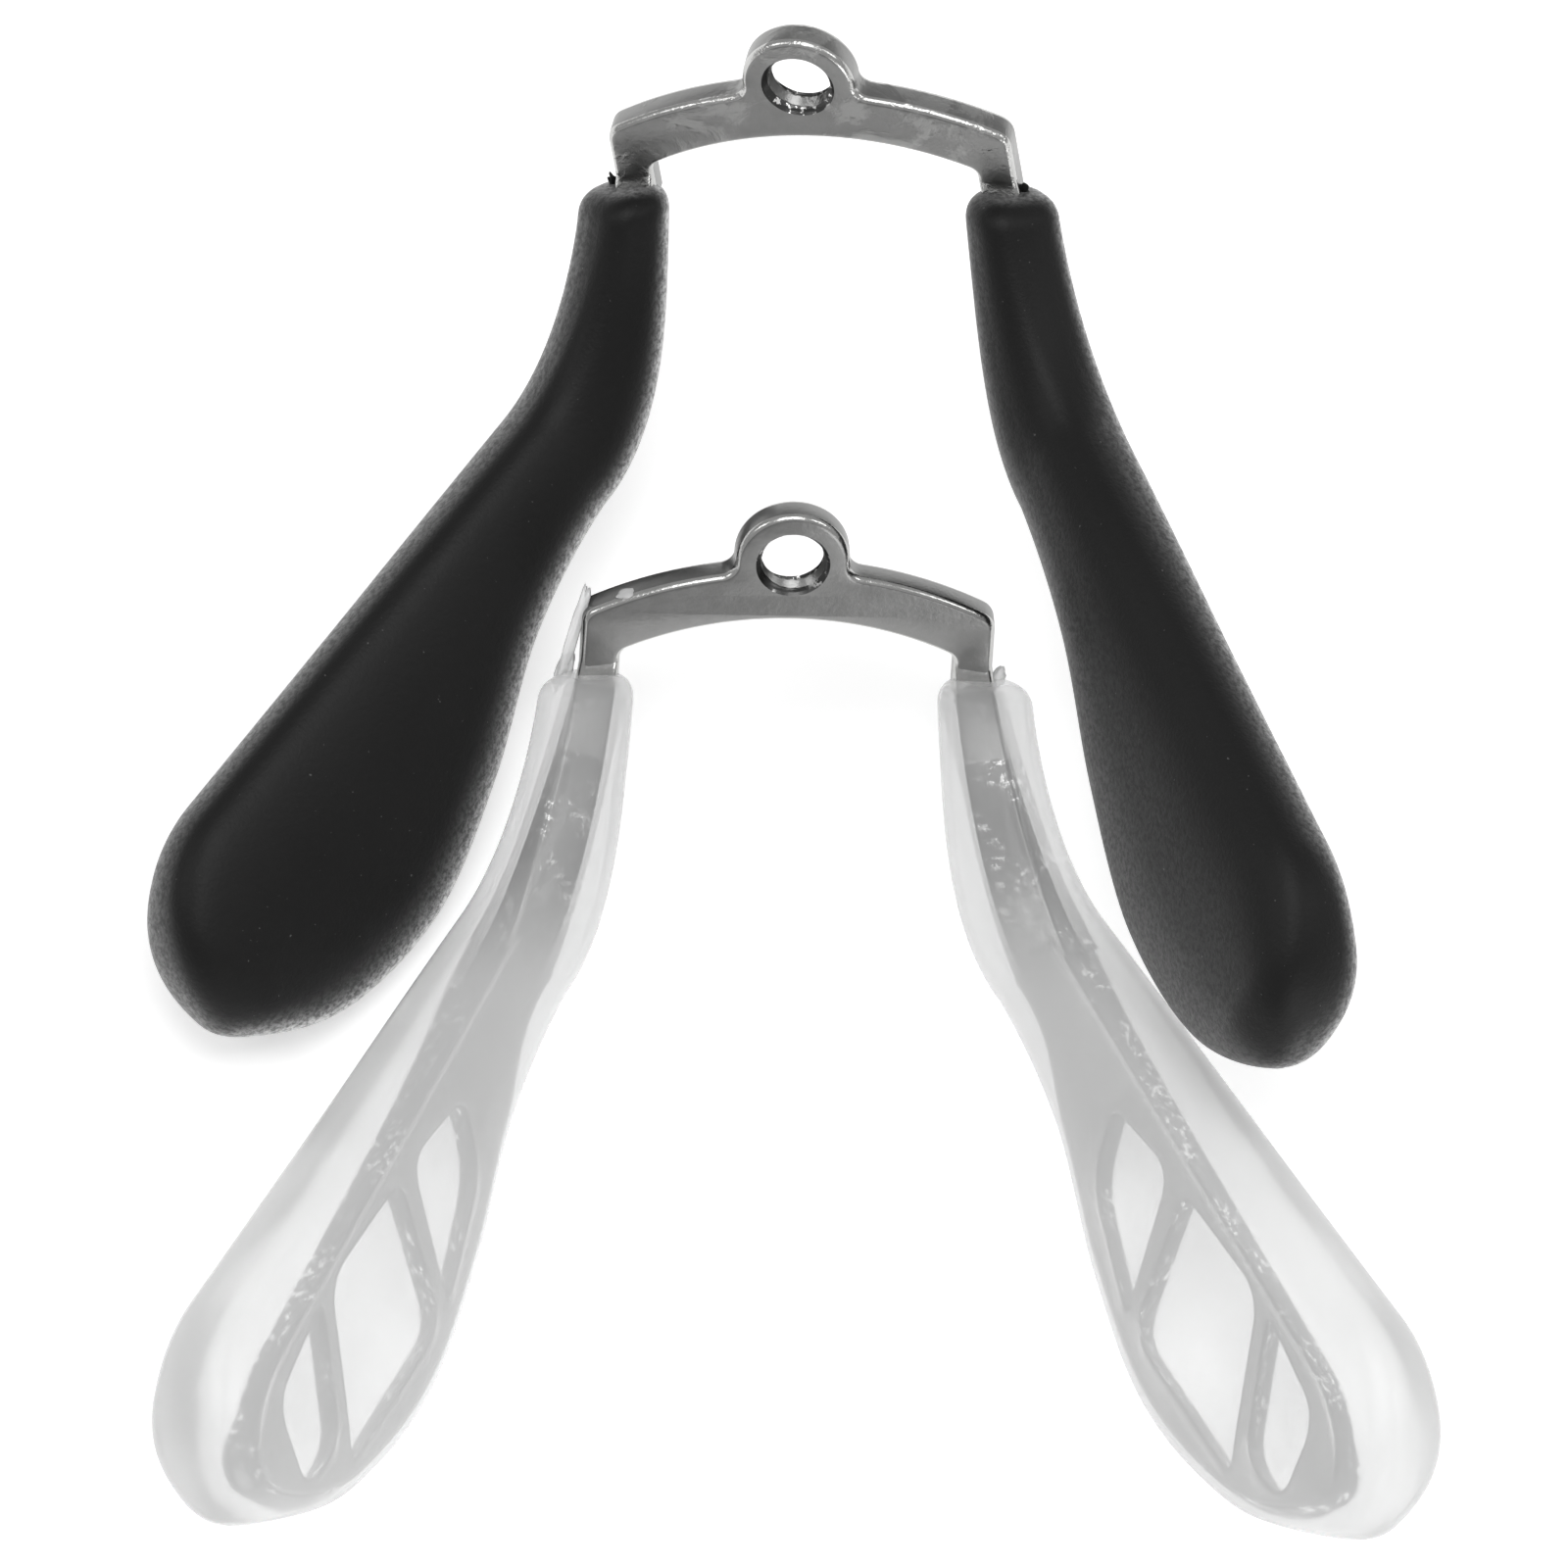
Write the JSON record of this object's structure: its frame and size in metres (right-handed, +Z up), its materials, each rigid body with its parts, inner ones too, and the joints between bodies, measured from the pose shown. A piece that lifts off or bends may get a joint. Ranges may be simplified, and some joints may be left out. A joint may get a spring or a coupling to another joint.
{
  "type": "saddle-bridge nose pads",
  "caption": "Two saddle-bridge spectacle nose pads, one clear and one black, each a metal arch with a tapped eyelet and two long silicone pads.",
  "frame": {"origin": "on the table under the middle of the set", "axes": "+Z up from the table, +Y from the pads' tips towards the bridges' eyelets, +X to the right"},
  "size_m": [0.0246, 0.0284, 0.0093],
  "materials": {
    "insert_metal": "satin nickel, cast surface",
    "clear_silicone": "frosted, translucent",
    "black_silicone": "satin, fine grain"
  },
  "bodies": {
    "clear_unit": {"clear_bridge_insert": "insert_metal", "clear_left_pad": "clear_silicone", "clear_right_pad": "clear_silicone"},
    "black_unit": {"black_bridge_insert": "insert_metal", "black_left_pad": "black_silicone", "black_right_pad": "black_silicone"}
  },
  "joints": [
    {"name": "black_unit_lift", "type": "slide", "parent": "clear_unit", "child": "black_unit", "axis": [0, 0, 1], "range_m": [0, 0.04]}
  ]
}
